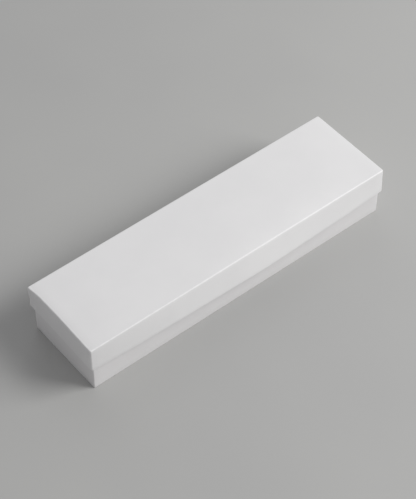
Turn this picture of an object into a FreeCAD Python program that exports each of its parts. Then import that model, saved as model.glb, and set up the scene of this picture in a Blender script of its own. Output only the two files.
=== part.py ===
import FreeCAD, Part
import os

import Sketcher

"""A white jewelry gift box: a shallow base, a lift-off lid and a padded insert.

The row frame has +X along the box, -Y on its front, +Z up, and its origin at the
middle of the base's underside. Every size is in millimetres.
"""

document = FreeCAD.newDocument("JewelryGiftBox")
sheet = document.addObject("Spreadsheet::Sheet", "Sizes")

# Sizes that are chosen: the box first, then its stuff, then the gaps between pieces.
DRIVING = [
    ("lid_length", 210.0),
    ("lid_width", 57.3),
    ("box_height", 34.4),
    ("lid_depth", 16.7),
    ("skirt_bow", 3.6),
    ("board_thick", 0.6),
    ("paper_thick", 0.12),
    ("tape_thick", 0.08),
    ("liner_thick", 0.12),
    ("corner_round", 1.0),
    ("fold_round", 0.42),
    ("inner_round", 0.15),
    ("base_turn_in", 14.0),
    ("lid_turn_in", 10.0),
    ("stay_reach", 11.0),
    ("stay_short", 1.0),
    ("foam_thick", 17.4),
    ("velvet_thick", 0.9),
    ("pad_corner", 1.2),
    ("slit_width", 0.8),
    ("slit_length", 18.0),
    ("slit_from_end", 26.0),
    ("notch_radius", 8.5),
    ("end_clear", 0.2),
    ("side_clear", 0.65),
    ("rim_clear", 0.05),
    ("liner_clear", 0.5),
    ("insert_clear", 0.4),
    ("insert_lift_clear", 0.1),
    ("lid_back", 0.6),
    ("lid_right", 0.1),
]

# Sizes that follow from them, each written once and used by name below.
DERIVED = [
    ("ground", "0 * box_height"),
    ("bow_none", "skirt_bow / 200"),
    ("pocket_round", "corner_round - paper_thick"),
    ("board_round", "corner_round - paper_thick - tape_thick"),
    ("board_fold", "fold_round - paper_thick"),
    ("wall_thick", "2 * paper_thick + tape_thick + board_thick"),
    ("lid_x", "lid_length / 2"),
    ("lid_y", "lid_width / 2"),
    ("lid_pocket_x", "lid_x - paper_thick"),
    ("lid_pocket_y", "lid_y - paper_thick"),
    ("lid_board_x", "lid_pocket_x - tape_thick"),
    ("lid_board_y", "lid_pocket_y - tape_thick"),
    ("lid_inner_x", "lid_board_x - board_thick"),
    ("lid_inner_y", "lid_board_y - board_thick"),
    ("lid_mouth_x", "lid_inner_x - paper_thick"),
    ("lid_mouth_y", "lid_inner_y - paper_thick"),
    ("lid_bottom", "box_height - lid_depth"),
    ("lid_board_bottom", "lid_bottom + paper_thick"),
    ("lid_board_top", "box_height - paper_thick"),
    ("lid_board_under", "lid_board_top - board_thick"),
    ("lid_liner_under", "lid_board_under - liner_thick"),
    ("lid_turn_top", "lid_bottom + lid_turn_in"),
    ("lid_stay_bottom", "lid_board_bottom + stay_short"),
    ("lid_stay_top", "lid_board_top - stay_short"),
    ("bow_low", "skirt_bow * (box_height - lid_board_bottom) / lid_depth"),
    ("bow_turn", "skirt_bow * (box_height - lid_turn_top) / lid_depth"),
    ("bow_under", "skirt_bow * (box_height - lid_board_under) / lid_depth"),
    ("bow_high", "skirt_bow * (box_height - lid_board_top) / lid_depth"),
    ("bow_stay_low", "skirt_bow * (box_height - lid_stay_bottom) / lid_depth"),
    ("bow_stay_high", "skirt_bow * (box_height - lid_stay_top) / lid_depth"),
    ("base_x", "lid_x - wall_thick - end_clear"),
    ("base_y", "lid_y - wall_thick - side_clear"),
    ("base_pocket_x", "base_x - paper_thick"),
    ("base_pocket_y", "base_y - paper_thick"),
    ("base_board_x", "base_pocket_x - tape_thick"),
    ("base_board_y", "base_pocket_y - tape_thick"),
    ("base_inner_x", "base_board_x - board_thick"),
    ("base_inner_y", "base_board_y - board_thick"),
    ("base_mouth_x", "base_inner_x - paper_thick"),
    ("base_mouth_y", "base_inner_y - paper_thick"),
    ("base_rim", "lid_liner_under - rim_clear"),
    ("base_board_top", "base_rim - paper_thick"),
    ("base_floor", "paper_thick + board_thick"),
    ("base_turn_bottom", "base_rim - base_turn_in"),
    ("base_stay_bottom", "paper_thick + stay_short"),
    ("base_stay_top", "base_board_top - stay_short"),
    ("floor_liner_x", "base_inner_x - liner_clear"),
    ("floor_liner_y", "base_inner_y - liner_clear"),
    ("lid_liner_x", "lid_mouth_x - liner_clear"),
    ("lid_liner_y", "lid_mouth_y - liner_clear"),
    ("insert_x", "base_mouth_x - insert_clear"),
    ("insert_y", "base_mouth_y - insert_clear"),
    ("insert_bottom", "base_floor + liner_thick + insert_lift_clear"),
    ("foam_top", "insert_bottom + foam_thick"),
    ("velvet_top", "foam_top + velvet_thick"),
    ("slit_x", "insert_x - slit_from_end"),
]

for row, (name, value) in enumerate(DRIVING, start=1):
    sheet.set(f"A{row}", name)
    sheet.set(f"B{row}", str(value))
    sheet.setAlias(f"B{row}", name)
for row, (name, formula) in enumerate(DERIVED, start=len(DRIVING) + 2):
    sheet.set(f"A{row}", name)
    sheet.set(f"B{row}", f"={formula}")
    sheet.setAlias(f"B{row}", name)
document.recompute()


def size(name):
    """The value of one named size, in millimetres."""
    return float(sheet.get(name))


def new_body(label):
    """An empty body with this label."""
    body = document.addObject("PartDesign::Body", label)
    body.Label = label
    return body


def new_sketch(body, name, height):
    """A sketch lying flat in its body at the named height."""
    sketch = body.newObject("Sketcher::SketchObject", name)
    planes = [f for f in body.Origin.OriginFeatures if f.Role == "XY_Plane"]
    sketch.AttachmentSupport = [(planes[0], "")]
    sketch.MapMode = "FlatFace"
    sketch.setExpression("AttachmentOffset.Base.z", f"Sizes.{height}")
    return sketch


def limit(sketch, kind, name, expression, *where):
    """Adds one measured constraint and ties it to an expression over the sizes."""
    index = sketch.addConstraint(Sketcher.Constraint(kind, *where))
    sketch.renameConstraint(index, name)
    sketch.setExpression(f"Constraints.{name}", expression)


def outline(body, name, height, half_x, half_y, corner, bow=None):
    """A rounded rectangle centred on the Z axis; bow curves its two long sides outward."""
    sketch = new_sketch(body, name, height)
    x, y, r = size(half_x), size(half_y), size(corner)
    s = size(bow) if bow else 0.0
    vector = FreeCAD.Vector
    up = vector(0, 0, 1)
    run = x - r
    radius = (run * run + s * s) / (2 * s) if s else 0.0

    def long_side(sign):
        start, end = vector(sign * run, sign * y, 0), vector(-sign * run, sign * y, 0)
        if not s:
            return Part.LineSegment(start, end)
        crown = vector(0, sign * (y + s), 0)
        return Part.Arc(start, crown, end)

    def corner_arc(sx, sy, quarter):
        circle = Part.Circle(vector(sx * run, sy * (y - r), 0), up, r)
        turn = 1.5707963267948966
        return Part.ArcOfCircle(circle, quarter * turn, (quarter + 1) * turn)

    pieces = [
        Part.LineSegment(vector(x, -(y - r), 0), vector(x, y - r, 0)),
        corner_arc(1, 1, 0),
        long_side(1),
        corner_arc(-1, 1, 1),
        Part.LineSegment(vector(-x, y - r, 0), vector(-x, -(y - r), 0)),
        corner_arc(-1, -1, 2),
        long_side(-1),
        corner_arc(1, -1, 3),
    ]
    sketch.addGeometry(pieces, False)
    count = len(pieces)
    for index in range(count):
        following = (index + 1) % count
        sketch.addConstraint(Sketcher.Constraint("Coincident", index, 2, following, 1))
    for index in (0, 4):
        sketch.addConstraint(Sketcher.Constraint("Vertical", index))
    for index in (1, 5):
        sketch.addConstraint(Sketcher.Constraint("Horizontal", index, 1, index, 3))
        sketch.addConstraint(Sketcher.Constraint("Vertical", index, 2, index, 3))
    for index in (3, 7):
        sketch.addConstraint(Sketcher.Constraint("Vertical", index, 1, index, 3))
        sketch.addConstraint(Sketcher.Constraint("Horizontal", index, 2, index, 3))
    for index in (3, 5, 7):
        sketch.addConstraint(Sketcher.Constraint("Equal", 1, index))
    limit(sketch, "Radius", "corner", f"Sizes.{corner}", 1, r)
    limit(sketch, "DistanceX", "half_x", f"Sizes.{half_x}", -1, 1, 0, 2, x)
    limit(sketch, "DistanceX", "far_x", f"Sizes.{half_x}", 4, 1, -1, 1, x)
    limit(sketch, "DistanceY", "half_y", f"Sizes.{half_y}", -1, 1, 1, 2, y)
    limit(sketch, "DistanceY", "far_y", f"Sizes.{half_y}", 5, 2, -1, 1, y)
    if bow:
        half = f"(Sizes.{half_x} - Sizes.{corner})"
        arc = f"({half} * {half} + Sizes.{bow} * Sizes.{bow}) / (2 * Sizes.{bow})"
        limit(sketch, "Radius", "bow_back", arc, 2, radius)
        limit(sketch, "Radius", "bow_front", arc, 6, radius)
    document.recompute()
    return sketch


def rectangle(sketch, tag, x_low, y_low, x_high, y_high):
    """A rectangle in a sketch; each limit is an expression over the sizes."""
    first = sketch.GeometryCount
    sides = [sketch.evalExpression(e) for e in (x_low, y_low, x_high, y_high)]
    xl, yl, xh, yh = [float(v) for v in sides]
    corners = [(xl, yl), (xh, yl), (xh, yh), (xl, yh)]
    for start, end in zip(corners, corners[1:] + corners[:1]):
        sketch.addGeometry(
            Part.LineSegment(FreeCAD.Vector(*start, 0), FreeCAD.Vector(*end, 0)), False
        )
    for index in range(4):
        following = first + (index + 1) % 4
        sketch.addConstraint(
            Sketcher.Constraint("Coincident", first + index, 2, following, 1)
        )
    for index in (0, 2):
        sketch.addConstraint(Sketcher.Constraint("Horizontal", first + index))
    for index in (1, 3):
        sketch.addConstraint(Sketcher.Constraint("Vertical", first + index))
    limit(sketch, "DistanceX", f"{tag}_left", x_low, -1, 1, first, 1, xl)
    limit(sketch, "DistanceX", f"{tag}_right", x_high, -1, 1, first, 2, xh)
    limit(sketch, "DistanceY", f"{tag}_front", y_low, -1, 1, first, 1, yl)
    limit(sketch, "DistanceY", f"{tag}_back", y_high, -1, 1, first + 2, 1, yh)


def loft(body, kind, name, low, high):
    """Adds or removes the straight-walled shape between two outlines."""
    feature = body.newObject(f"PartDesign::{kind}Loft", name)
    feature.Profile = low
    feature.Sections = [high]
    feature.Ruled = True
    document.recompute()
    return feature


def pad(body, name, sketch, length):
    """Raises a sketch by an expression over the sizes."""
    feature = body.newObject("PartDesign::Pad", name)
    feature.Profile = sketch
    feature.setExpression("Length", length)
    document.recompute()
    return feature


def pocket(body, name, sketch, length):
    """Cuts upward from a sketch by an expression over the sizes."""
    before = body.Shape.Volume
    feature = body.newObject("PartDesign::Pocket", name)
    feature.Profile = sketch
    feature.Reversed = True
    feature.setExpression("Length", length)
    document.recompute()
    if body.Shape.Volume >= before:
        raise RuntimeError(f"{body.Label}: {name} removed nothing")
    return feature


def round_edges(body, name, radius, wanted):
    """Rounds every edge whose bounding box passes the test."""
    tip = body.Tip
    names = [
        f"Edge{index}"
        for index, edge in enumerate(tip.Shape.Edges, start=1)
        if wanted(edge.BoundBox)
    ]
    if not names:
        raise RuntimeError(f"{body.Label}: {name} found no edge")
    feature = body.newObject("PartDesign::Fillet", name)
    feature.Base = (tip, names)
    feature.setExpression("Radius", f"Sizes.{radius}")
    document.recompute()
    return feature


def around(height, half_x, half_y, corner):
    """A test for the flat loop of edges at a height whose corners lie on this outline."""
    level, x, y, r = size(height), size(half_x), size(half_y), size(corner)
    near = 0.03

    def wanted(box):
        if abs(box.ZMin - level) > near or abs(box.ZMax - level) > near:
            return False
        end = abs(abs(box.Center.x) - x) < near and box.YLength > y
        side = abs(abs(box.YMin if box.Center.y < 0 else box.YMax) - y) < near and box.XLength > x
        turn = (
            abs(max(abs(box.XMin), abs(box.XMax)) - x) < near
            and abs(max(abs(box.YMin), abs(box.YMax)) - y) < near
            and box.XLength < r + near
        )
        return end or side or turn

    return wanted


# ---------------------------------------------------------------- the base

base_board = new_body("base_board")
pad(
    base_board,
    "BaseBoardBlock",
    outline(base_board, "BaseBoardOutline", "paper_thick", "base_board_x", "base_board_y", "board_round"),
    "Sizes.base_board_top - Sizes.paper_thick",
)
pocket(
    base_board,
    "BaseBoardHollow",
    outline(base_board, "BaseBoardInside", "base_floor", "base_inner_x", "base_inner_y", "inner_round"),
    "Sizes.base_board_top - Sizes.base_floor",
)
round_edges(
    base_board,
    "BaseBoardFold",
    "board_fold",
    around("paper_thick", "base_board_x", "base_board_y", "board_round"),
)



def hollow_ring(label, low, high, outer, inner, corner, bows):
    """A body that fills the thin space between two nested outlines, top to bottom."""
    body = new_body(label)
    pieces = []
    for tag, (half_x, half_y), round_name in (("Outer", outer, corner[0]), ("Inner", inner, corner[1])):
        bottom = outline(body, f"{label}{tag}Low", low, half_x, half_y, round_name, bows[0])
        top = outline(body, f"{label}{tag}High", high, half_x, half_y, round_name, bows[1])
        pieces.append((bottom, top))
    loft(body, "Additive", f"{label}Solid", *pieces[0])
    loft(body, "Subtractive", f"{label}Hollow", *pieces[1])
    return body


def corner_stays(prefix, low, high, pocket_xy, board_xy, bows):
    """The four paper tapes round the outside of a tray's corners, under its wrap."""
    corner = ("pocket_round", "board_round")
    ring = hollow_ring(prefix.capitalize() + "StayRing", low, high, pocket_xy, board_xy, corner, bows)
    reach_x = f"(Sizes.{board_xy[0]} - Sizes.stay_reach)"
    reach_y = f"(Sizes.{board_xy[1]} - Sizes.stay_reach)"
    stays = []
    for side, sy in (("front", -1), ("back", 1)):
        for end, sx in (("left", -1), ("right", 1)):
            label = f"{prefix}_corner_stay_{side}_{end}"
            block = document.addObject("Part::Box", f"{label}_block")
            block.setExpression("Length", f"Sizes.{pocket_xy[0]} + 1 - {reach_x}")
            block.setExpression("Width", f"Sizes.{pocket_xy[1]} + 1 + Sizes.skirt_bow - {reach_y}")
            block.setExpression("Height", "Sizes.box_height")
            start_x = reach_x if sx > 0 else f"(0 - Sizes.{pocket_xy[0]} - 1)"
            start_y = reach_y if sy > 0 else f"(0 - Sizes.{pocket_xy[1]} - 1 - Sizes.skirt_bow)"
            block.setExpression("Placement.Base.x", start_x)
            block.setExpression("Placement.Base.y", start_y)
            stay = document.addObject("Part::Common", label)
            stay.Label = label
            stay.Base = ring
            stay.Tool = block
            stays.append(stay)
    document.recompute()
    return stays


base_stays = corner_stays(
    "base",
    "base_stay_bottom",
    "base_stay_top",
    ("base_pocket_x", "base_pocket_y"),
    ("base_board_x", "base_board_y"),
    (None, None),
)

# The wrap goes over the board and its tapes, over the rim and a little way down inside.
base_wrap = new_body("base_wrap")
pad(
    base_wrap,
    "BaseWrapBlock",
    outline(base_wrap, "BaseWrapOutline", "ground", "base_x", "base_y", "corner_round"),
    "Sizes.base_rim",
)
pocket(
    base_wrap,
    "BaseWrapRoom",
    outline(base_wrap, "BaseWrapRoomOutline", "paper_thick", "base_pocket_x", "base_pocket_y", "pocket_round"),
    "Sizes.base_board_top - Sizes.paper_thick",
)
pocket(
    base_wrap,
    "BaseWrapMouth",
    outline(base_wrap, "BaseWrapMouthOutline", "base_board_top", "base_inner_x", "base_inner_y", "inner_round"),
    "Sizes.paper_thick",
)
turn_outline = outline(base_wrap, "BaseTurnOutline", "base_turn_bottom", "base_inner_x", "base_inner_y", "inner_round")
pad(base_wrap, "BaseTurnBlock", turn_outline, "Sizes.base_turn_in")
pocket(
    base_wrap,
    "BaseTurnMouth",
    outline(base_wrap, "BaseTurnMouthOutline", "base_turn_bottom", "base_mouth_x", "base_mouth_y", "inner_round"),
    "Sizes.base_turn_in",
)
round_edges(
    base_wrap,
    "BaseWrapFold",
    "fold_round",
    around("ground", "base_x", "base_y", "corner_round"),
)
round_edges(
    base_wrap,
    "BaseWrapLip",
    "fold_round",
    around("base_rim", "base_x", "base_y", "corner_round"),
)

base_floor_liner = new_body("base_floor_liner")
pad(
    base_floor_liner,
    "FloorLinerSheet",
    outline(base_floor_liner, "FloorLinerOutline", "base_floor", "floor_liner_x", "floor_liner_y", "inner_round"),
    "Sizes.liner_thick",
)


# ---------------------------------------------------------------- the padded insert


def pad_layer(label, bottom, thickness):
    """One layer of the insert, with its end notches and its two slits cut through it."""
    tag = label.replace("_", " ").title().replace(" ", "")
    body = new_body(label)
    pad(
        body,
        f"{tag}Block",
        outline(body, f"{tag}Outline", bottom, "insert_x", "insert_y", "pad_corner"),
        f"Sizes.{thickness}",
    )
    cuts = new_sketch(body, f"{tag}Cuts", bottom)
    for name, sign in (("left", -1), ("right", 1)):
        centre = FreeCAD.Vector(sign * size("insert_x"), 0, 0)
        circle = Part.Circle(centre, FreeCAD.Vector(0, 0, 1), size("notch_radius"))
        index = cuts.addGeometry(circle, False)
        cuts.addConstraint(Sketcher.Constraint("PointOnObject", index, 3, -1))
        limit(cuts, "Radius", f"notch_{name}", "Sizes.notch_radius", index, size("notch_radius"))
        limit(
            cuts,
            "DistanceX",
            f"notch_{name}_x",
            f"{sign} * Sizes.insert_x",
            -1,
            1,
            index,
            3,
            sign * size("insert_x"),
        )
        middle = f"{sign} * Sizes.slit_x"
        rectangle(
            cuts,
            f"slit_{name}",
            f"{middle} - Sizes.slit_width / 2",
            "0 - Sizes.slit_length / 2",
            f"{middle} + Sizes.slit_width / 2",
            "Sizes.slit_length / 2",
        )
    document.recompute()
    pocket(body, f"{tag}CutThrough", cuts, f"Sizes.{thickness}")
    return body


insert_foam = pad_layer("insert_foam", "insert_bottom", "foam_thick")
insert_velvet = pad_layer("insert_velvet", "foam_top", "velvet_thick")


# ---------------------------------------------------------------- the lid


lid_board = new_body("lid_board")
loft(
    lid_board,
    "Additive",
    "LidBoardBlock",
    outline(lid_board, "LidBoardLow", "lid_board_bottom", "lid_board_x", "lid_board_y", "board_round", "bow_low"),
    outline(lid_board, "LidBoardHigh", "lid_board_top", "lid_board_x", "lid_board_y", "board_round", "bow_high"),
)
loft(
    lid_board,
    "Subtractive",
    "LidBoardHollow",
    outline(lid_board, "LidBoardMouth", "lid_board_bottom", "lid_inner_x", "lid_inner_y", "inner_round", "bow_low"),
    outline(lid_board, "LidBoardCeiling", "lid_board_under", "lid_inner_x", "lid_inner_y", "inner_round", "bow_under"),
)

lid_stays = corner_stays(
    "lid",
    "lid_stay_bottom",
    "lid_stay_top",
    ("lid_pocket_x", "lid_pocket_y"),
    ("lid_board_x", "lid_board_y"),
    ("bow_stay_low", "bow_stay_high"),
)

lid_wrap = new_body("lid_wrap")
loft(
    lid_wrap,
    "Additive",
    "LidWrapBlock",
    outline(lid_wrap, "LidWrapLow", "lid_bottom", "lid_x", "lid_y", "corner_round", "skirt_bow"),
    outline(lid_wrap, "LidWrapHigh", "box_height", "lid_x", "lid_y", "corner_round", "bow_none"),
)
loft(
    lid_wrap,
    "Subtractive",
    "LidWrapRoom",
    outline(lid_wrap, "LidRoomLow", "lid_board_bottom", "lid_pocket_x", "lid_pocket_y", "pocket_round", "bow_low"),
    outline(lid_wrap, "LidRoomHigh", "lid_board_top", "lid_pocket_x", "lid_pocket_y", "pocket_round", "bow_high"),
)
loft(
    lid_wrap,
    "Subtractive",
    "LidWrapMouth",
    outline(lid_wrap, "LidMouthLow", "lid_bottom", "lid_inner_x", "lid_inner_y", "inner_round", "skirt_bow"),
    outline(lid_wrap, "LidMouthHigh", "lid_board_bottom", "lid_inner_x", "lid_inner_y", "inner_round", "bow_low"),
)
loft(
    lid_wrap,
    "Additive",
    "LidTurnBlock",
    outline(lid_wrap, "LidTurnLow", "lid_bottom", "lid_inner_x", "lid_inner_y", "inner_round", "skirt_bow"),
    outline(lid_wrap, "LidTurnHigh", "lid_turn_top", "lid_inner_x", "lid_inner_y", "inner_round", "bow_turn"),
)
loft(
    lid_wrap,
    "Subtractive",
    "LidTurnMouth",
    outline(lid_wrap, "LidTurnMouthLow", "lid_bottom", "lid_mouth_x", "lid_mouth_y", "inner_round", "skirt_bow"),
    outline(lid_wrap, "LidTurnMouthHigh", "lid_turn_top", "lid_mouth_x", "lid_mouth_y", "inner_round", "bow_turn"),
)
round_edges(
    lid_wrap,
    "LidWrapFold",
    "fold_round",
    around("box_height", "lid_x", "lid_y", "corner_round"),
)

lid_liner = new_body("lid_liner")
pad(
    lid_liner,
    "LidLinerSheet",
    outline(lid_liner, "LidLinerOutline", "lid_liner_under", "lid_liner_x", "lid_liner_y", "inner_round"),
    "Sizes.liner_thick",
)


# ---------------------------------------------------------------- checks and export

PIECES = [
    base_board,
    *base_stays,
    base_wrap,
    base_floor_liner,
    insert_foam,
    insert_velvet,
    lid_board,
    *lid_stays,
    lid_wrap,
    lid_liner,
]

# The lid is pushed back and to the right within its clearance, so the base and what
# lies in it stand that far forward and to the left of the lid.
for piece in [base_board, *base_stays, base_wrap, base_floor_liner, insert_foam, insert_velvet]:
    piece.setExpression("Placement.Base.x", "0 - Sizes.lid_right")
    piece.setExpression("Placement.Base.y", "0 - Sizes.lid_back")

document.recompute()
faults = [o.Label for o in document.Objects if "Invalid" in o.State or "Error" in o.State]
if faults:
    raise RuntimeError(f"these did not recompute: {faults}")
for piece in PIECES:
    shape = piece.Shape
    if shape.isNull() or not shape.isValid() or len(shape.Solids) != 1:
        raise RuntimeError(f"{piece.Label} is not one sound solid")

os.makedirs("parts", exist_ok=True)
for piece in PIECES:
    piece.Shape.exportStep(f"parts/{piece.Label}.step")
    print(f"{piece.Label}: {piece.Shape.Volume:.1f} mm3")
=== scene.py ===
import logging
import math
from collections.abc import Callable, Iterable
from dataclasses import dataclass, field
from enum import Enum

import bmesh
import bpy
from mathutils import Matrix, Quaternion, Vector, noise


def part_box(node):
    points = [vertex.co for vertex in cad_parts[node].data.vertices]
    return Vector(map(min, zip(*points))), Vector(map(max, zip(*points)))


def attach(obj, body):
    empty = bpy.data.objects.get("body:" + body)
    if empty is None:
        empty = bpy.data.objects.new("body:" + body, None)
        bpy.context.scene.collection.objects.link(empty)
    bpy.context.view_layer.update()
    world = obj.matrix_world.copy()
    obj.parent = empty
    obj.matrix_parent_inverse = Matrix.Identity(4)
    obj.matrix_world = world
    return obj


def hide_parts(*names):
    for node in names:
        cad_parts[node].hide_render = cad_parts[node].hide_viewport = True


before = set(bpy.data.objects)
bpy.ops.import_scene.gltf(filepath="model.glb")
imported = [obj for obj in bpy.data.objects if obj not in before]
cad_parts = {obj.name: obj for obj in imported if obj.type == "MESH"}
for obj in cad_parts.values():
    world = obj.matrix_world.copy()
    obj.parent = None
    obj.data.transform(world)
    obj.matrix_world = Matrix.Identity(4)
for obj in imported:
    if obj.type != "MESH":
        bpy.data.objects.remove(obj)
log = logging.getLogger("gift_box")
MM = 0.001
SHARP = math.radians(40)
FACING = 0.9
Triple = tuple[float, float, float]
Colour = Triple
Place = Callable[[Vector], Vector]


def smooth(value: float, low: float, high: float) -> float:
    """A soft step.

    Args:
        value: The number to place between the two limits.
        low: Where the step starts, at 0.
        high: Where the step ends, at 1.

    Returns:
        A number from 0 to 1, level at both ends.
    """
    t = min(max((value - low) / (high - low), 0.0), 1.0)
    return t * t * (3.0 - 2.0 * t)


# ------------------------------------------------------------------ shader expressions


class Signal:
    """One output of a shader node, so that sums and products read as plain Python."""

    def __init__(self, recipe: "Recipe", socket: bpy.types.NodeSocket) -> None:
        """Keeps the recipe that owns the node and the node's output."""
        self.recipe = recipe
        self.socket = socket

    def _math(self, operation: str, *terms: "Signal | float") -> "Signal":
        """Adds one Math node.

        Args:
            operation: The Math node's operation.
            *terms: What goes into its sockets, in order.

        Returns:
            The node's result.
        """
        settings = {"operation": operation}
        return self.recipe.node("ShaderNodeMath", settings, dict(enumerate(terms)))

    def __add__(self, other: "Signal | float") -> "Signal":
        """The sum of the two."""
        return self._math("ADD", self, other)

    def __radd__(self, other: float) -> "Signal":
        """The sum, with the number first."""
        return self._math("ADD", other, self)

    def __sub__(self, other: "Signal | float") -> "Signal":
        """This less the other."""
        return self._math("SUBTRACT", self, other)

    def __rsub__(self, other: float) -> "Signal":
        """The number less this."""
        return self._math("SUBTRACT", other, self)

    def __mul__(self, other: "Signal | float") -> "Signal":
        """The product of the two."""
        return self._math("MULTIPLY", self, other)

    def __rmul__(self, other: float) -> "Signal":
        """The product, with the number first."""
        return self._math("MULTIPLY", other, self)

    def __abs__(self) -> "Signal":
        """How far this is from nought."""
        return self._math("ABSOLUTE", self)

    def step(self, low: float, high: float) -> "Signal":
        """A soft step of this value.

        Args:
            low: The value that gives 0.
            high: The value that gives 1.

        Returns:
            A number from 0 to 1.
        """
        settings = {"interpolation_type": "SMOOTHSTEP", "clamp": True}
        inputs = {"Value": self, "From Min": low, "From Max": high}
        return self.recipe.node("ShaderNodeMapRange", settings, inputs)

    def most(self, other: "Signal | float") -> "Signal":
        """The larger of the two."""
        return self._math("MAXIMUM", self, other)


class Recipe:
    """One material, put together node by node."""

    def __init__(self, name: str) -> None:
        """Makes an empty material with its shader.

        Args:
            name: The material's name.
        """
        self.material = bpy.data.materials.new(name)
        self.material.use_nodes = True
        self.tree = self.material.node_tree
        self.tree.nodes.clear()
        self.shader = self.tree.nodes.new("ShaderNodeBsdfPrincipled")
        output = self.tree.nodes.new("ShaderNodeOutputMaterial")
        self.tree.links.new(self.shader.outputs["BSDF"], output.inputs["Surface"])
        self.place = self.node("ShaderNodeTexCoord", {}, {}, "Object")

    def node(self, kind: str, settings: dict, inputs: dict, output: str | int = 0) -> Signal:
        """Adds any node.

        Args:
            kind: The node's type.
            settings: Its settings, which are set before its sockets.
            inputs: A number, a colour or a Signal for each socket by name or place.
            output: The output that is wanted.

        Returns:
            That output.
        """
        made = self.tree.nodes.new(kind)
        for name, value in settings.items():
            setattr(made, name, value)
        for name, value in inputs.items():
            self.feed(made.inputs[name], value)
        return Signal(self, made.outputs[output])

    def feed(self, socket: bpy.types.NodeSocket, value: "Signal | float | Colour") -> None:
        """Links or sets one socket.

        Args:
            socket: The socket to fill.
            value: A Signal to link, or a number or colour to set.
        """
        if isinstance(value, Signal):
            self.tree.links.new(value.socket, socket)
        elif isinstance(value, tuple) and socket.type == "RGBA":
            socket.default_value = (*value, 1.0)
        else:
            socket.default_value = value

    def axes(self) -> tuple[Signal, Signal, Signal]:
        """The place on the piece along X, Y and Z, in metres."""
        parts = [self.node("ShaderNodeSeparateXYZ", {}, {0: self.place}, a) for a in "XYZ"]
        return parts[0], parts[1], parts[2]

    def noise(self, grain: float, detail: float = 2.0, stretch: Triple = (1.0, 1.0, 1.0)) -> Signal:
        """A cloudy pattern from 0 to 1.

        Args:
            grain: The size of one cloud, in metres.
            detail: How many finer layers it has.
            stretch: How much closer the clouds lie along X, Y and Z.

        Returns:
            The pattern's value.
        """
        inputs = {0: self.place, 1: stretch}
        scaled = self.node("ShaderNodeVectorMath", {"operation": "MULTIPLY"}, inputs)
        inputs = {"Vector": scaled, "Scale": 1.0 / grain, "Detail": detail, "Roughness": 0.55}
        return self.node("ShaderNodeTexNoise", {}, inputs)

    def specks(self, spacing: float, share: float) -> Signal:
        """Small round specks, 1 in their middle and 0 between them.

        Args:
            spacing: How far apart they lie, in metres.
            share: How far from its point a speck reaches, as a share of the spacing.

        Returns:
            The pattern's value.
        """
        inputs = {"Vector": self.place, "Scale": 1.0 / spacing}
        reach = self.node("ShaderNodeTexVoronoi", {}, inputs, "Distance")
        return 1.0 - reach.step(share * 0.5, share)

    def mix(self, share: Signal, first: "Signal | Colour", second: "Signal | Colour") -> Signal:
        """Goes from one colour to another.

        Args:
            share: How much of the second colour there is, from 0 to 1.
            first: The first colour.
            second: The second colour.

        Returns:
            The mixed colour.
        """
        made = self.tree.nodes.new("ShaderNodeMix")
        made.data_type = "RGBA"
        self.feed(made.inputs["Factor"], share)
        for label, value in (("A", first), ("B", second)):
            sockets = [s for s in made.inputs if s.name == label and s.type == "RGBA"]
            self.feed(sockets[0], value)
        results = [s for s in made.outputs if s.type == "RGBA"]
        return Signal(self, results[0])

    def relief(self, height: Signal, depth: float, under: Signal | None = None) -> Signal:
        """Turns a height pattern into a bumpy surface.

        Args:
            height: The pattern, from 0 to 1.
            depth: How deep it is, in metres.
            under: A coarser relief that this one lies on.

        Returns:
            The surface normal.
        """
        inputs = {"Height": height, "Distance": depth, "Strength": 1.0}
        if under is not None:
            inputs["Normal"] = under
        return self.node("ShaderNodeBump", {}, inputs)

    def use(self, **sockets: "Signal | float | Colour") -> bpy.types.Material:
        """Fills the shader's own sockets.

        Args:
            **sockets: A value for each socket, with underscores for the spaces in its name.

        Returns:
            The finished material.
        """
        for name, value in sockets.items():
            self.feed(self.shader.inputs[name.replace("_", " ")], value)
        return self.material


# ------------------------------------------------------------------ finishes


@dataclass(frozen=True)
class CoatedPaper:
    """Smooth white coated paper, a little soiled and rubbed along its folds."""

    low: Triple
    high: Triple
    white: Colour = (0.848, 0.843, 0.846)
    shade: Colour = (0.828, 0.823, 0.827)
    rubbed: Colour = (0.89, 0.89, 0.89)
    speck: Colour = (0.50, 0.48, 0.45)
    matte: float = 0.38
    wear_from: float = 0.9 * MM
    wear_full: float = 0.2 * MM

    def folds(self, recipe: Recipe) -> Signal:
        """Where the paper bends over an edge.

        Args:
            recipe: The material being made.

        Returns:
            A mask, 1 on the folds.
        """
        near = []
        for place, low, high in zip(recipe.axes(), self.low, self.high):
            half = (high - low) / 2
            reach = abs(place - (low + high) / 2)
            near.append(reach.step(half - self.wear_from, half - self.wear_full))
        end, side, top = near
        return (end * side).most(end * top).most(side * top)

    def make(self, name: str) -> bpy.types.Material:
        """Builds the material.

        Args:
            name: The material's name.

        Returns:
            The material.
        """
        recipe = Recipe(name)
        cloud = recipe.noise(grain=0.028, detail=3.0)
        fibre = recipe.noise(grain=0.00035, detail=4.0, stretch=(1.0, 1.6, 1.0))
        tooth = recipe.noise(grain=0.0011, detail=3.0)
        folds = self.folds(recipe)
        wear = folds * recipe.noise(grain=0.0035, detail=4.0).step(0.42, 0.62)
        dirt = recipe.specks(spacing=0.031, share=0.011)
        dirt *= recipe.noise(grain=0.05, detail=1.0).step(0.5, 0.56)
        body = recipe.mix(cloud.step(0.3, 0.7), self.shade, self.white)
        body = recipe.mix(wear, body, self.rubbed)
        body = recipe.mix(dirt, body, self.speck)
        rough = self.matte + 0.10 * (cloud - 0.5) + 0.05 * (fibre - 0.5) + 0.18 * wear
        large = recipe.relief(tooth, 0.012 * MM)
        normal = recipe.relief(fibre, 0.006 * MM, large)
        return recipe.use(
            Base_Color=body,
            Roughness=rough,
            Normal=normal,
            Specular_IOR_Level=0.5,
            IOR=1.47,
        )


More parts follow.
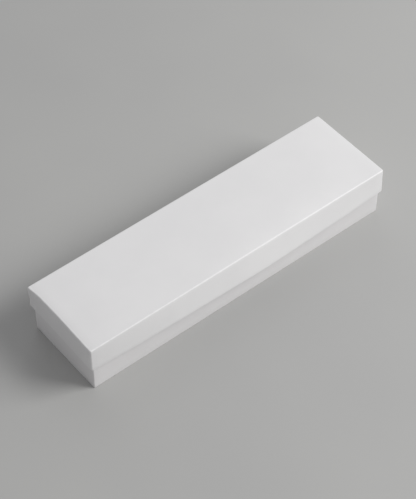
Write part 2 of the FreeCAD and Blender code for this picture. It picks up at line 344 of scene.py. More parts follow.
@dataclass(frozen=True)
class LinedBoard:
    """Recycled chipboard, lined white on its face, with flecks showing through."""

    face: Colour = (0.70, 0.69, 0.66)
    pulp: Colour = (0.58, 0.56, 0.52)
    fleck: Colour = (0.33, 0.30, 0.26)

    def make(self, name: str) -> bpy.types.Material:
        """Builds the material.

        Args:
            name: The material's name.

        Returns:
            The material.
        """
        recipe = Recipe(name)
        cloud = recipe.noise(grain=0.006, detail=5.0)
        fibre = recipe.noise(grain=0.0005, detail=5.0, stretch=(0.35, 1.4, 1.4))
        flecks = recipe.specks(spacing=0.0042, share=0.06)
        flecks *= recipe.noise(grain=0.009, detail=2.0).step(0.45, 0.6)
        body = recipe.mix(cloud.step(0.35, 0.7), self.face, self.pulp)
        body = recipe.mix(fibre.step(0.35, 0.75) * 0.35, body, self.pulp)
        body = recipe.mix(flecks * 0.8, body, self.fleck)
        normal = recipe.relief(fibre, 0.03 * MM)
        return recipe.use(
            Base_Color=body,
            Roughness=0.86 + 0.08 * (fibre - 0.5),
            Normal=normal,
            Specular_IOR_Level=0.3,
        )


@dataclass(frozen=True)
class KraftTape:
    """Brown gummed paper tape, with its fibres running along it."""

    light: Colour = (0.62, 0.47, 0.30)
    dark: Colour = (0.50, 0.36, 0.22)

    def make(self, name: str) -> bpy.types.Material:
        """Builds the material.

        Args:
            name: The material's name.

        Returns:
            The material.
        """
        recipe = Recipe(name)
        fibre = recipe.noise(grain=0.0006, detail=5.0, stretch=(1.0, 1.0, 0.25))
        body = recipe.mix(fibre.step(0.35, 0.7), self.light, self.dark)
        normal = recipe.relief(fibre, 0.02 * MM)
        rough = 0.62 + 0.15 * (fibre - 0.5)
        return recipe.use(Base_Color=body, Roughness=rough, Normal=normal)


@dataclass(frozen=True)
class LinerPaper:
    """Plain uncoated white paper, laid flat inside the box."""

    white: Colour = (0.80, 0.80, 0.79)
    warm: Colour = (0.76, 0.75, 0.73)

    def make(self, name: str) -> bpy.types.Material:
        """Builds the material.

        Args:
            name: The material's name.

        Returns:
            The material.
        """
        recipe = Recipe(name)
        cloud = recipe.noise(grain=0.012, detail=4.0)
        fibre = recipe.noise(grain=0.0004, detail=5.0, stretch=(0.6, 1.5, 1.0))
        body = recipe.mix(cloud.step(0.3, 0.75), self.white, self.warm)
        normal = recipe.relief(fibre, 0.018 * MM)
        rough = 0.78 + 0.12 * (fibre - 0.5)
        return recipe.use(Base_Color=body, Roughness=rough, Normal=normal)


@dataclass(frozen=True)
class Velvet:
    """Short white velvet, with its nap brushed a little this way and that."""

    bright: Colour = (0.86, 0.85, 0.84)
    brushed: Colour = (0.805, 0.795, 0.785)
    # Painted shade for the low parts of the pile.
    painted_pile_shade: Colour = (0.64, 0.63, 0.62)

    def make(self, name: str) -> bpy.types.Material:
        """Builds the material.

        Args:
            name: The material's name.

        Returns:
            The material.
        """
        recipe = Recipe(name)
        nap = recipe.noise(grain=0.016, detail=2.0, stretch=(0.5, 1.4, 1.0))
        stroke = recipe.noise(grain=0.004, detail=3.0, stretch=(0.4, 1.3, 1.0))
        pile = recipe.noise(grain=0.00028, detail=3.0)
        tuft = recipe.noise(grain=0.0008, detail=3.0)
        laid = (0.7 * nap + 0.3 * stroke).step(0.38, 0.66)
        body = recipe.mix(laid, self.bright, self.brushed)
        # Painted shade: where the pile is low, the velvet is darkened as if shaded between the tufts.
        body = recipe.mix((1.0 - pile).step(0.45, 0.8) * 0.4, body, self.painted_pile_shade)
        under = recipe.relief(tuft, 0.10 * MM)
        normal = recipe.relief(pile, 0.09 * MM, under)
        return recipe.use(
            Base_Color=body,
            Roughness=0.88 + 0.08 * (nap - 0.5),
            Normal=normal,
            Sheen_Weight=0.55,
            Sheen_Roughness=0.35,
            Sheen_Tint=(1.0, 0.99, 0.98),
            Specular_IOR_Level=0.15,
        )


@dataclass(frozen=True)
class OpenFoam:
    """White open-cell foam, with small round pores."""

    wall: Colour = (0.82, 0.82, 0.79)
    # Painted shade for the inside of the pores.
    painted_pore_shade: Colour = (0.60, 0.60, 0.57)

    def make(self, name: str) -> bpy.types.Material:
        """Builds the material.

        Args:
            name: The material's name.

        Returns:
            The material.
        """
        recipe = Recipe(name)
        cell = recipe.specks(spacing=0.00075, share=0.5)
        fine = recipe.specks(spacing=0.0004, share=0.5)
        cloud = recipe.noise(grain=0.01, detail=3.0)
        holes = cell.most(fine * 0.6)
        # Painted shade: the pores are darkened, as if shaded inside.
        body = recipe.mix(holes * 0.6, self.wall, self.painted_pore_shade)
        normal = recipe.relief(1.0 - holes, 0.12 * MM)
        return recipe.use(
            Base_Color=body,
            Roughness=0.92 + 0.06 * (cloud - 0.5),
            Normal=normal,
            Specular_IOR_Level=0.2,
        )


@dataclass(frozen=True)
class StudioFloor:
    """A plain pale sheet under the box."""

    pale: Colour = (0.50, 0.50, 0.49)
    soft: Colour = (0.47, 0.47, 0.465)

    def make(self, name: str) -> bpy.types.Material:
        """Builds the material.

        Args:
            name: The material's name.

        Returns:
            The material.
        """
        recipe = Recipe(name)
        cloud = recipe.noise(grain=0.25, detail=3.0)
        body = recipe.mix(cloud.step(0.3, 0.7), self.pale, self.soft)
        return recipe.use(Base_Color=body, Roughness=0.9, Specular_IOR_Level=0.1)


# ------------------------------------------------------------------ the bench


class Axis(Enum):
    """The three directions a piece is cut along."""

    X = 0
    Y = 1
    Z = 2


class Bench:
    """The modelling steps that every piece shares."""

    @staticmethod
    def clear() -> None:
        """Leaves nothing selected and no mode open."""
        if bpy.context.object and bpy.context.object.mode != "OBJECT":
            bpy.ops.object.mode_set(mode="OBJECT")
        bpy.ops.object.select_all(action="DESELECT")

    @staticmethod
    def take(piece: bpy.types.Object) -> None:
        """Selects one piece and makes it the active one.

        Args:
            piece: The piece.
        """
        Bench.clear()
        piece.select_set(True)
        bpy.context.view_layer.objects.active = piece

    @staticmethod
    def block(name: str, low: Vector, high: Vector) -> bpy.types.Object:
        """Adds a box between two corners.

        Args:
            name: The piece's name.
            low: Its lowest corner.
            high: Its highest corner.

        Returns:
            The new piece, with its place in its mesh.
        """
        Bench.clear()
        bpy.ops.mesh.primitive_cube_add(size=1.0, location=(low + high) / 2, scale=high - low)
        piece = bpy.context.object
        piece.name = name
        piece.data.name = name
        bpy.ops.object.transform_apply(location=True, rotation=True, scale=True)
        return piece

    @staticmethod
    def edit(piece: bpy.types.Object, mode: str = "FACE") -> bmesh.types.BMesh:
        """Opens a piece for editing with nothing selected.

        Args:
            piece: The piece.
            mode: FACE, EDGE or VERT.

        Returns:
            Its mesh, for choosing what is selected.
        """
        Bench.take(piece)
        bpy.ops.object.mode_set(mode="EDIT")
        bpy.ops.mesh.select_mode(type=mode)
        bpy.ops.mesh.select_all(action="DESELECT")
        return bmesh.from_edit_mesh(piece.data)

    @staticmethod
    def pick(piece: bpy.types.Object, chosen: Iterable) -> None:
        """Selects some of an open mesh's faces or edges.

        Args:
            piece: The piece that is open for editing.
            chosen: The faces or edges.
        """
        for item in chosen:
            item.select_set(True)
        bmesh.update_edit_mesh(piece.data)

    @staticmethod
    def close() -> None:
        """Goes back to object mode."""
        bpy.ops.object.mode_set(mode="OBJECT")

    @staticmethod
    def cut(piece: bpy.types.Object, axis: Axis, places: Iterable[float]) -> None:
        """Divides a piece across one axis, leaving its shape as it is.

        Args:
            piece: The piece.
            axis: The axis that the cuts stand across.
            places: Where each cut is, in metres.
        """
        Bench.edit(piece)
        across = Vector((0.0, 0.0, 0.0))
        across[axis.value] = 1.0
        for place in places:
            bpy.ops.mesh.select_all(action="SELECT")
            bpy.ops.mesh.bisect(plane_co=across * place, plane_no=across)
        Bench.close()

    @staticmethod
    def keep(piece: bpy.types.Object, kind: str, **settings: object) -> None:
        """Adds a modifier and applies it.

        Args:
            piece: The piece.
            kind: The modifier's type.
            **settings: Its settings.
        """
        Bench.take(piece)
        modifier = piece.modifiers.new(kind.title(), kind)
        for name, value in settings.items():
            setattr(modifier, name, value)
        bpy.ops.object.modifier_apply(modifier=modifier.name)

    @staticmethod
    def soften(piece: bpy.types.Object, width: float, segments: int) -> None:
        """Rounds every sharp edge of a piece.

        Args:
            piece: The piece.
            width: How far the rounding reaches from the edge.
            segments: How many strips it is made of.
        """
        settings = {"limit_method": "ANGLE", "angle_limit": SHARP}
        Bench.keep(piece, "BEVEL", width=width, segments=segments, **settings)

    @staticmethod
    def round_upright(piece: bpy.types.Object, radius: float) -> None:
        """Rounds the four upright corners of a block.

        Args:
            piece: The block.
            radius: How far the rounding reaches from each corner.
        """
        shape = Bench.edit(piece, "EDGE")
        upright = [e for e in shape.edges if abs(e.verts[0].co.z - e.verts[1].co.z) > radius]
        Bench.pick(piece, upright)
        bpy.ops.mesh.bevel(offset=radius, segments=5)
        Bench.close()

    @staticmethod
    def settle(piece: bpy.types.Object, place: Place) -> None:
        """Moves every point of a thin piece to where the paper really lies.

        Args:
            piece: The piece, still as flat as it was folded.
            place: Gives each point's new place.
        """
        for point in piece.data.vertices:
            point.co = place(point.co.copy())
        piece.data.update()

    @staticmethod
    def shade(piece: bpy.types.Object, angle: float = 32.0) -> None:
        """Smooth shading that keeps the true corners."""
        Bench.take(piece)
        bpy.ops.object.shade_smooth_by_angle(angle=math.radians(angle))

    @staticmethod
    def dress(piece: bpy.types.Object, material: bpy.types.Material) -> None:
        """Gives a piece one material all over."""
        piece.data.materials.clear()
        piece.data.materials.append(material)

    @staticmethod
    def spread(low: float, high: float, step: float) -> list[float]:
        """Evenly spaced places between two limits, both left out."""
        count = max(int(round((high - low) / step)), 1)
        return [low + (high - low) * k / count for k in range(1, count)]


# ------------------------------------------------------------------ how the paper lies


def as_folded(point: Vector) -> Vector:
    """Leaves a point of a straight-sided piece where it is."""
    return point


@dataclass
class LidShape:
    """How the lid's thin walls have opened and its top has moved with use.

    The long skirts bow out at their lower edge. The top is crowned, sways a little and rolls up
    from its front edge. The ear is the back left corner, which stands out past the end.
    """

    low: Vector
    high: Vector
    front_bow: float = 2.35 * MM
    front_right: float = 0.7 * MM
    front_bulge: float = 0.62 * MM
    bulge_at: float = 12 * MM
    bulge_reach: float = 26 * MM
    back_bow: float = 2.5 * MM
    bow_power: float = 2.4
    back_left: float = 1.2 * MM
    wall: float = 1.2 * MM
    border: float = 0.5 * MM
    crown: float = 0.30 * MM
    crown_even: float = 0.8
    crown_sway: float = 0.35
    crown_end: float = 26 * MM
    crown_front: float = 15 * MM
    crown_back: float = 20 * MM
    sway_along: float = 13.0
    sway_across: float = 21.0
    sway_layer: float = 0.7
    roll: float = 0.8 * MM
    roll_reach: float = 9 * MM
    roll_from: float = -60 * MM
    roll_full: float = 10 * MM
    roll_end: float = 40 * MM
    roll_back: float = 42 * MM
    top_from: float = 2.2 * MM
    top_full: float = 1.0 * MM
    ear: float = 1.05 * MM
    ear_reach: float = 9.5 * MM
    ear_from: float = 1.6 * MM
    ear_foot: float = 3 * MM
    ear_top: float = 0.6 * MM
    end_skew: float = 0.65 * MM

    def opening(self, x: float, front: bool) -> float:
        """How far a long skirt's lower edge stands out.

        Args:
            x: The place along the lid.
            front: True for the front skirt.

        Returns:
            The distance, in metres.
        """
        u = max(min(x / self.high.x, 1.0), -1.0)
        bow = 1.0 - abs(u) ** self.bow_power
        if front:
            bulge = math.exp(-(((x - self.bulge_at) / self.bulge_reach) ** 2)) * bow
            return self.front_bow * bow + self.front_right * (1 + u) / 2 + self.front_bulge * bulge
        return self.back_bow * bow + self.back_left * (1 - u) / 2

    def lift(self, x: float, y: float) -> float:
        """How far the top stands above flat.

        Args:
            x: The place along the lid.
            y: The place across it.

        Returns:
            The height, in metres.
        """
        from_end = self.high.x - abs(x)
        from_front = y + self.high.y
        from_back = self.high.y - y
        rise = smooth(from_end, self.border, self.crown_end)
        across = smooth(from_front, self.border, self.crown_front)
        rise *= across * smooth(from_back, self.border, self.crown_back)
        sway = noise.noise(Vector((x * self.sway_along, y * self.sway_across, self.sway_layer)))
        inward = min(max(from_front / self.roll_reach, 0.0), 1.0)
        roll = 1.0 - (1.0 - inward) ** 2
        roll *= smooth(x, self.roll_from, self.roll_full) * smooth(from_end, self.border, self.roll_end)
        roll *= smooth(from_back, self.border, self.roll_back)
        return self.crown * rise * (self.crown_even + self.crown_sway * sway) + self.roll * roll

    def place(self, point: Vector) -> Vector:
        """Where a point of the lid ends up.

        Args:
            point: The point on the flat-sided lid.

        Returns:
            The point on the used lid.
        """
        x, y, z = point
        drop = (self.high.z - z) / (self.high.z - self.low.z)
        front = y < 0
        share_y = min(abs(y) / (self.high.y - self.wall), 1.0)
        out = self.opening(x, front) * drop * share_y ** 3
        point.y += -out if front else out
        top = smooth(z, self.high.z - self.top_from, self.high.z - self.top_full)
        point.z += self.lift(x, y) * top
        near_end = smooth(-x, self.high.x - self.ear_from, self.high.x - self.border)
        near_back = min(max((y - self.high.y) / self.ear_reach + 1.0, 0.0), 1.0)
        near_top = smooth(z, self.low.z + self.ear_foot, self.high.z - self.ear_top)
        point.x -= self.ear * near_end * near_back * near_top
        if x < 0 and front:
            point.x += self.end_skew * y / self.high.y * (x / self.high.x) ** 4
        return point


# ------------------------------------------------------------------ the pieces


class Mouth(Enum):
    """Which way a tray opens."""

    UP = 1
    DOWN = -1


@dataclass
class Tray:
    """A shallow open box of one sheet: a wrap, or the board inside it."""

    name: str
    node: str
    body: str
    slot: str
    low: Vector
    high: Vector
    mouth: Mouth
    sheet: float
    fold: float
    place: Place
    wall: float = 0.0
    turn_in: float = 0.0
    seam: float = 0.0
    step: float = 4.0 * MM
    upright_share: float = 0.6
    border: float = 1.5 * MM
    corner: float = 1.0 * MM
    lip: float = 0.2 * MM
    flap: float = 0.09 * MM
    flap_slack: float = 0.04 * MM
    same_end: float = 0.01 * MM
    same_height: float = 0.001 * MM
    piece: bpy.types.Object | None = field(default=None, init=False)

    def fold_face(self) -> None:
        """Folds the sheet softly round the edges of the tray's closed side."""
        height = self.low.z if self.mouth is Mouth.UP else self.high.z
        shape = Bench.edit(self.piece, "EDGE")
        closed = []
        for edge in shape.edges:
            if all(abs(v.co.z - height) < self.same_height for v in edge.verts):
                closed.append(edge)
        Bench.pick(self.piece, closed)
        bpy.ops.mesh.bevel(offset=self.fold, segments=4)
        Bench.close()

    def open_mouth(self) -> None:
        """Takes the cover off the block, which leaves the sheet with one open side."""
        shape = Bench.edit(self.piece)
        lids = [f for f in shape.faces if f.normal.z * self.mouth.value > FACING]
        Bench.pick(self.piece, lids)
        bpy.ops.mesh.delete(type="FACE")
        Bench.close()

    def turn_edge(self) -> None:
        """Takes the sheet over the board's edge and a little way down inside."""
        size = self.high - self.low
        middle = (self.low + self.high) / 2
        rim = self.high.z if self.mouth is Mouth.UP else self.low.z
        shape = Bench.edit(self.piece, "EDGE")
        Bench.pick(self.piece, [e for e in shape.edges if e.is_boundary])
        bpy.ops.mesh.extrude_edges_move(TRANSFORM_OT_translate={"value": (0, 0, 0)})
        shrink = (1 - 2 * self.wall / size.x, 1 - 2 * self.wall / size.y, 1)
        bpy.ops.transform.resize(value=shrink, center_override=(middle.x, middle.y, rim))
        down = (0, 0, -self.mouth.value * self.turn_in)
        bpy.ops.mesh.extrude_edges_move(TRANSFORM_OT_translate={"value": down})
        Bench.close()

    def raise_seams(self) -> None:
        """Stands the end flaps a little proud of the side flaps that they cover."""
        middle = (self.low + self.high) / 2
        half = (self.high - self.low) / 2
        for point in self.piece.data.vertices:
            end = abs(abs(point.co.x - middle.x) - half.x) < self.same_end
            inside = abs(point.co.y - middle.y) < half.y - self.seam - self.flap_slack
            if end and inside:
                point.co.x += math.copysign(self.flap, point.co.x - middle.x)

    def build(self) -> bpy.types.Object:
        """Makes the sheet.

        Returns:
            The finished piece.
        """
        self.piece = Bench.block(self.name, self.low, self.high)
        Bench.round_upright(self.piece, self.corner)
        self.fold_face()
        self.open_mouth()
        if self.turn_in:
            self.turn_edge()
            Bench.soften(self.piece, self.lip, 3)
        for axis in (Axis.X, Axis.Y):
            first = self.low[axis.value] + self.border
            last = self.high[axis.value] - self.border
            Bench.cut(self.piece, axis, Bench.spread(first, last, self.step))
        Bench.cut(self.piece, Axis.Z, Bench.spread(self.low.z, self.high.z, self.step * self.upright_share))
        if self.seam:
            first = self.low.y + self.seam
            last = self.high.y - self.seam
            Bench.cut(self.piece, Axis.Y, (first, last, first + self.flap, last - self.flap))
            self.raise_seams()
        Bench.settle(self.piece, self.place)
        Bench.keep(self.piece, "SOLIDIFY", thickness=self.sheet, offset=-1.0, use_even_offset=True)
        Bench.shade(self.piece)
        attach(self.piece, self.body)
        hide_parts(self.node)
        return self.piece


@dataclass
class CornerTape:
    """One strip of tape folded round the outside of a tray's corner."""

    name: str
    node: str
    body: str
    low: Vector
    high: Vector
    side_x: int
    side_y: int
    sheet: float
    fold: float
    place: Place
    step: float = 2.5 * MM

    def build(self) -> bpy.types.Object:
        """Makes the tape.

        Returns:
            The finished piece.
        """
        piece = Bench.block(self.name, self.low, self.high)
        shape = Bench.edit(piece)
        outward = [max(f.normal.x * self.side_x, f.normal.y * self.side_y) for f in shape.faces]
        Bench.pick(piece, [f for f, facing in zip(shape.faces, outward) if facing <= FACING])
        bpy.ops.mesh.delete(type="FACE")
        Bench.close()
        Bench.soften(piece, self.fold, 4)
        Bench.cut(piece, Axis.X, Bench.spread(self.low.x, self.high.x, self.step))
        Bench.cut(piece, Axis.Z, Bench.spread(self.low.z, self.high.z, self.step))
        Bench.settle(piece, self.place)
        Bench.keep(piece, "SOLIDIFY", thickness=self.sheet, offset=-1.0, use_even_offset=True)
        Bench.shade(piece)
        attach(piece, self.body)
        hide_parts(self.node)
        return piece


@dataclass
class FlatLiner:
    """A sheet of paper stuck inside the lid's top."""

    name: str
    node: str
    body: str
    place: Place
    step: float = 5 * MM

    def build(self) -> bpy.types.Object:
        """Makes the sheet.

        Returns:
            The finished piece.
        """
        low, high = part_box(self.node)
        piece = Bench.block(self.name, low, high)
        Bench.cut(piece, Axis.X, Bench.spread(low.x, high.x, self.step))
        Bench.cut(piece, Axis.Y, Bench.spread(low.y, high.y, self.step))
        Bench.settle(piece, self.place)
        Bench.shade(piece)
        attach(piece, self.body)
        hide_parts(self.node)
        return piece


@dataclass
class Lid:
    """The lift-off lid: board, corner tapes, wrap and liner."""

    wall: float = 0.92 * MM
    paper: float = 0.12 * MM
    tape: float = 0.08 * MM
    tape_reach: float = 11.1 * MM
    board: float = 0.6 * MM
    board_fold: float = 0.3 * MM
    board_corner: float = 0.8 * MM
    turn_in: float = 10 * MM
    fold: float = 0.6 * MM
    skirt_bow: float = 3.58 * MM
    corner: float = 1.0 * MM

    def build(self) -> None:
        """Builds and dresses the lid's pieces."""
        low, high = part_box("lid_wrap")
        board_low, board_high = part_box("lid_board")
        low.y += self.skirt_bow
        high.y -= self.skirt_bow
        shape = LidShape(low, high)
        wrap = Tray(
            "lid_paper_wrap",
            "lid_wrap",
            "lid",
            "white_wrap",
            low,
            high,
            Mouth.DOWN,
            self.paper,
            self.fold,
            shape.place,
            wall=self.wall,
            turn_in=self.turn_in,
            seam=self.corner,
            corner=self.corner,
        ).build()
        Bench.dress(wrap, CoatedPaper(low=tuple(low), high=tuple(high)).make("lid_white_paper"))
        log.info("lid wrap: %d faces", len(wrap.data.polygons))
        inset = Vector((self.paper + self.tape, self.paper + self.tape, 0))
        tray = Tray(
            "lid_chipboard",
            "lid_board",
            "lid",
            "lined_board",
            Vector((low.x, low.y, board_low.z)) + inset,
            Vector((high.x, high.y, board_high.z)) - inset,
            Mouth.DOWN,
            self.board,
            self.board_fold,
            shape.place,
            corner=self.board_corner,
        ).build()
        Bench.dress(tray, LinedBoard().make("lid_lined_board"))
        log.info("lid board: %d faces", len(tray.data.polygons))
        self.tapes(low, high, shape)
        liner = FlatLiner("lid_top_liner", "lid_liner", "lid", shape.place).build()
        Bench.dress(liner, LinerPaper().make("lid_liner_paper"))
        log.info("lid liner: %d faces", len(liner.data.polygons))

    def tapes(self, low: Vector, high: Vector, shape: LidShape) -> None:
        """Builds the four corner tapes.

        Args:
            low: The lid's lowest corner, without the opening of its skirts.
            high: The lid's highest corner.
            shape: How the lid lies.
        """
        material = KraftTape().make("lid_kraft_tape")
        for side, sy in (("front", -1), ("back", 1)):
            for end, sx in (("left", -1), ("right", 1)):
                node = f"lid_corner_stay_{side}_{end}"
                bottom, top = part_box(node)
                outer = Vector((sx * (high.x - self.paper), sy * (high.y - self.paper), top.z))
                end_x = sx * (high.x - self.tape_reach)
                end_y = sy * (high.y - self.tape_reach)
                inner = Vector((end_x, end_y, bottom.z))
                corner_low = Vector(map(min, outer, inner))
                corner_high = Vector(map(max, outer, inner))
                tape = CornerTape(
                    f"lid_tape_{side}_{end}",
                    node,
                    "lid",
                    corner_low,
                    corner_high,
                    sx,
                    sy,
                    self.tape,
                    self.corner - self.paper,
                    shape.place,
                ).build()
                Bench.dress(tape, material)
                log.info("%s: %d faces", tape.name, len(tape.data.polygons))


@dataclass
class Base:
    """The base: board, corner tapes, wrap and floor liner."""

    wall: float = 0.92 * MM
    paper: float = 0.12 * MM
    # The base's paper colours are the lid's paper made darker: painted shade for the dimmer light that
    # falls on the base under the lid.
    white: Colour = (0.81, 0.80, 0.805)
    shade: Colour = (0.79, 0.78, 0.785)
    turn_in: float = 14 * MM
    fold: float = 0.3 * MM
    corner: float = 0.6 * MM

    def build(self) -> None:
        """Builds and dresses the base's pieces."""
        low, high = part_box("base_wrap")
        wrap = Tray(
            "base_paper_wrap",
            "base_wrap",
            "base",
            "white_wrap",
            low,
            high,
            Mouth.UP,
            self.paper,
            self.fold,
            as_folded,
            wall=self.wall,
            turn_in=self.turn_in,
            seam=self.corner,
            corner=self.corner,
        ).build()
        # Painted shade: the base's wrap is dressed in this darker copy of the lid's paper.
        painted_shade_paper = CoatedPaper(white=self.white, shade=self.shade, low=tuple(low), high=tuple(high))
        Bench.dress(wrap, painted_shade_paper.make("base_white_paper"))
        log.info("base wrap: %d faces", len(wrap.data.polygons))
        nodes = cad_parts
        Bench.dress(nodes["base_board"], LinedBoard().make("base_lined_board"))
        Bench.dress(nodes["base_floor_liner"], LinerPaper().make("base_floor_paper"))
        tape = KraftTape().make("base_kraft_tape")
        for side in ("front", "back"):
            for end in ("left", "right"):
                Bench.dress(nodes[f"base_corner_stay_{side}_{end}"], tape)
        log.info("base board, liner and tapes dressed")


@dataclass
class Insert:
    """The padded insert: a foam pad under a face of short velvet."""

    cell: float = 2.5 * MM
    corner: float = 1.2 * MM
    edge: float = 0.4 * MM
    room: float = 0.5 * MM
    side_room: float = 0.25 * MM
    cap: float = 0.7 * MM
    pressure: float = 4.0
    stiffness: float = 30.0
    frames: int = 20
    notch_radius: float = 8.5 * MM
    notch_sides: int = 72
    slit_length: float = 18 * MM
    slit_width: float = 0.9 * MM
    slit_from_end: float = 26 * MM
    dip: float = 0.45 * MM
    dip_reach: float = 2.6 * MM
    dip_fade: float = 3 * MM
    dip_depth: float = 1 * MM
    blade: float = 60 * MM

    def block(self, low: Vector, high: Vector, level: float) -> bpy.types.Object:
        """Makes the whole pad as one closed block, with its face marked off.

        Args:
            low: The pad's lowest corner.
            high: Its highest corner.
            level: Where the foam ends and the velvet starts.

        Returns:
            The block, with a first material for the foam and a second for the velvet.
        """
        pad = Bench.block("insert_foam_pad", low, high)
        Bench.round_upright(pad, self.corner)
        Bench.soften(pad, self.edge, 3)
        for axis, first, last in zip(Axis, low + Vector((1, 1, 0)) * self.corner, high):
            Bench.cut(pad, axis, Bench.spread(first, last - self.corner, self.cell))
        Bench.cut(pad, Axis.Z, [level])
        pad.data.materials.append(OpenFoam().make("insert_white_foam"))
        pad.data.materials.append(Velvet().make("insert_white_velvet"))
        for face in pad.data.polygons:
            face.material_index = int(face.center.z > level)
        return pad

    def swell(self, pad: bpy.types.Object) -> None:
        """Blows the pad up a little, as pressed foam does when it is let go.

        Args:
            pad: The whole pad.
        """
        start = [v.co.copy() for v in pad.data.vertices]
        Bench.take(pad)
        cloth = pad.modifiers.new("Swell", "CLOTH")
        cloth.settings.use_pressure = True
        cloth.settings.uniform_pressure_force = self.pressure
        cloth.settings.effector_weights.gravity = 0.0
        cloth.settings.tension_stiffness = self.stiffness
        cloth.settings.compression_stiffness = self.stiffness
        cloth.point_cache.frame_start = 1
        cloth.point_cache.frame_end = self.frames
        for count in range(1, self.frames + 1):
            bpy.context.scene.frame_set(count)
        bpy.ops.object.modifier_apply(modifier=cloth.name)
        bpy.context.scene.frame_set(1)
        for point, was in zip(pad.data.vertices, start):
            moved = point.co - was
            if moved.length > self.cap:
                point.co = was + moved.normalized() * self.cap
        pad.data.update()

    def press(self, pad: bpy.types.Object, low: Vector, high: Vector) -> None:
        """Keeps the pad in the room it has, and sinks its face towards the two slits.

        Args:
            pad: The whole pad.
            low: The lowest corner of its room.
            high: The highest corner of its room.
        """
        middle = (low + high) / 2
        dip_end = self.slit_length / 2 + self.dip_reach
        for point in pad.data.vertices:
            for axis in range(3):
                point.co[axis] = min(max(point.co[axis], low[axis]), high[axis])
            across = smooth(dip_end - abs(point.co.y - middle.y), 0, self.dip_fade)
            for x in (low.x + self.slit_from_end, high.x - self.slit_from_end):
                near = math.exp(-(((point.co.x - x) / self.dip_reach) ** 2))
                upper = smooth(point.co.z, middle.z, high.z - self.dip_depth)
                point.co.z -= self.dip * near * across * upper
        pad.data.update()

    def split(self, pad: bpy.types.Object) -> tuple[bpy.types.Object, bpy.types.Object]:
        """Takes the velvet off the foam along the line between them, and closes both.

        Args:
            pad: The whole pad.

        Returns:
            The foam and the velvet.
        """
        Bench.edit(pad)
        bpy.ops.mesh.separate(type="MATERIAL")
        Bench.close()
        parts = sorted(bpy.context.selected_objects, key=lambda o: o.data.materials[0].name)
        for part in parts:
            shape = Bench.edit(part, "EDGE")
            Bench.pick(part, [e for e in shape.edges if e.is_boundary])
            bpy.ops.mesh.edge_face_add()
            bpy.ops.mesh.select_all(action="SELECT")
            bpy.ops.mesh.normals_make_consistent(inside=False)
            Bench.close()
        foam, velvet = parts
        for part, name in ((velvet, "insert_velvet_face"), (foam, "insert_foam_pad")):
            part.name = name
            part.data.name = name
        return foam, velvet

    def carve(self, piece: bpy.types.Object, cutter: bpy.types.Object) -> None:
        """Cuts one shape out of a piece and takes the cutter away.

        Args:
            piece: The piece.
            cutter: The shape to cut out of it.
        """
        cutter.data.materials.append(piece.data.materials[0])
        Bench.keep(piece, "BOOLEAN", object=cutter, operation="DIFFERENCE", solver="EXACT")
        bpy.data.objects.remove(cutter, do_unlink=True)

    def cut_notches(self, piece: bpy.types.Object, low: Vector, high: Vector) -> None:
        """Cuts a half-round finger notch into each end.

        Args:
            piece: The foam or the velvet.
            low: The pad's lowest corner.
            high: Its highest corner.
        """
        middle = (low + high) / 2
        for x in (low.x, high.x):
            Bench.clear()
            bpy.ops.mesh.primitive_cylinder_add(
                vertices=self.notch_sides,
                radius=self.notch_radius,
                depth=self.blade,
                location=(x, middle.y, middle.z),
            )
            bpy.ops.object.transform_apply(location=True, rotation=True, scale=True)
            self.carve(piece, bpy.context.object)

    def cut_slits(self, piece: bpy.types.Object, low: Vector, high: Vector) -> None:
        """Cuts a slit across the pad near each end, for the two ends of a chain.

        Args:
            piece: The foam or the velvet.
            low: The pad's lowest corner.
            high: Its highest corner.
        """
        middle = (low + high) / 2
        reach = Vector((self.slit_width, self.slit_length, self.blade)) / 2
        for x in (low.x + self.slit_from_end, high.x - self.slit_from_end):
            centre = Vector((x, middle.y, middle.z))
            self.carve(piece, Bench.block("slit_blade", centre - reach, centre + reach))

    def build(self) -> None:
        """Builds and dresses the foam pad and its velvet face."""
        low, foam_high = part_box("insert_foam")
        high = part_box("insert_velvet")[1]
        inset = Vector((self.side_room, self.side_room, self.room))
        pad = self.block(low + Vector((inset.x, inset.y, 0)), high - inset, foam_high.z - self.room)
        self.swell(pad)
        self.press(pad, low, high)
        Bench.keep(pad, "SUBSURF", levels=1, render_levels=1)
        foam, velvet = self.split(pad)
        for piece in (foam, velvet):
            self.cut_notches(piece, low, high)
            self.cut_slits(piece, low, high)
            Bench.shade(piece, 40.0)
            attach(piece, "insert")
            log.info("%s: %d faces", piece.name, len(piece.data.polygons))
        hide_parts("insert_foam")
        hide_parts("insert_velvet")


# ------------------------------------------------------------------ the studio


@dataclass(frozen=True)
class Softbox:
    """One square soft light: where it hangs, its side in metres, its watts and its colour."""

    name: str
    place: Triple
    size: float
    power: float
    tint: Colour

    def hang(self) -> None:
        """Hangs the light so that it faces the box."""
        light = bpy.data.lights.new(self.name, "AREA")
        light.shape = "SQUARE"
        light.size = self.size
        light.energy = self.power
        light.color = self.tint
        lamp = bpy.data.objects.new(self.name, light)
        lamp.location = self.place
        lamp.rotation_euler = (-Vector(self.place)).to_track_quat("-Z", "Y").to_euler()
        bpy.context.collection.objects.link(lamp)


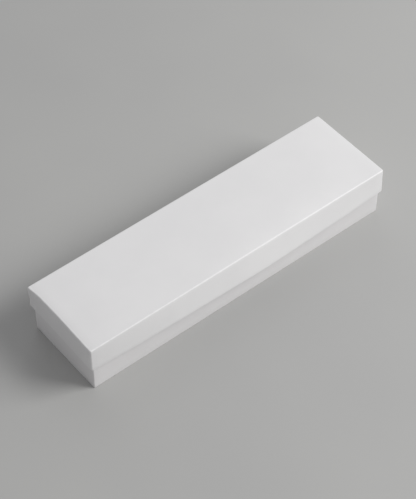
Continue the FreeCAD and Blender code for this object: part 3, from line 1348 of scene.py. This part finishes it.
@dataclass
class Studio:
    """The floor, the lights and the camera."""

    camera_at: Vector = field(default_factory=lambda: Vector((-0.40025, -0.48344, 0.74446)))
    look_at: Vector = field(default_factory=lambda: Vector((-0.0031, -0.00085, 0.0176)))
    roll: float = math.radians(0.52)
    lens: float = 121.9
    sensor: float = 36.0
    nearest: float = 0.01
    room_light: Colour = (0.985, 0.985, 1.0)
    ambient: float = 0.37
    floor_size: float = 4.0
    floor_gap: float = 0.05 * MM
    key: Softbox = Softbox("key_softbox", (0.78, -0.72, 0.88), 0.75, 13.6, (1.0, 0.995, 0.985))
    back: Softbox = Softbox("back_softbox", (0.5, 0.9, 0.9), 0.8, 1.5, (0.97, 0.98, 1.0))

    def floor(self) -> None:
        """Lays a wide pale sheet under the box."""
        Bench.clear()
        bpy.ops.mesh.primitive_plane_add(size=self.floor_size, location=(0, 0, -self.floor_gap))
        sheet = bpy.context.object
        sheet.name = "studio_floor"
        Bench.dress(sheet, StudioFloor().make("studio_pale_floor"))

    def lights(self) -> None:
        """Sets a large soft key above the front right, a weak one behind, and a faint even light."""
        self.key.hang()
        self.back.hang()
        world = bpy.data.worlds.new("studio_room")
        world.use_nodes = True
        background = world.node_tree.nodes["Background"]
        background.inputs["Color"].default_value = (*self.room_light, 1.0)
        background.inputs["Strength"].default_value = self.ambient
        bpy.context.scene.world = world

    def camera(self) -> None:
        """Sets the camera on the box from the front left, well above it."""
        data = bpy.data.cameras.new("studio_camera")
        data.lens = self.lens
        data.sensor_width = self.sensor
        data.clip_start = self.nearest
        camera = bpy.data.objects.new("studio_camera", data)
        camera.location = self.camera_at
        aim = (self.look_at - self.camera_at).to_track_quat("-Z", "Y")
        camera.rotation_mode = "QUATERNION"
        camera.rotation_quaternion = aim @ Quaternion((0, 0, 1), self.roll)
        bpy.context.collection.objects.link(camera)
        bpy.context.scene.camera = camera

    def build(self) -> None:
        """Sets up the whole studio."""
        self.floor()
        self.lights()
        self.camera()
        view = bpy.context.scene.view_settings
        view.view_transform = "Standard"
        view.look = "None"
        log.info("studio ready")


def main() -> None:
    """Builds the box piece by piece, and the studio round it."""
    logging.basicConfig(level=logging.INFO, format="%(name)s: %(message)s")
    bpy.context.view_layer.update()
    Base().build()
    Insert().build()
    Lid().build()
    Studio().build()


if __name__ == "__main__":
    main()
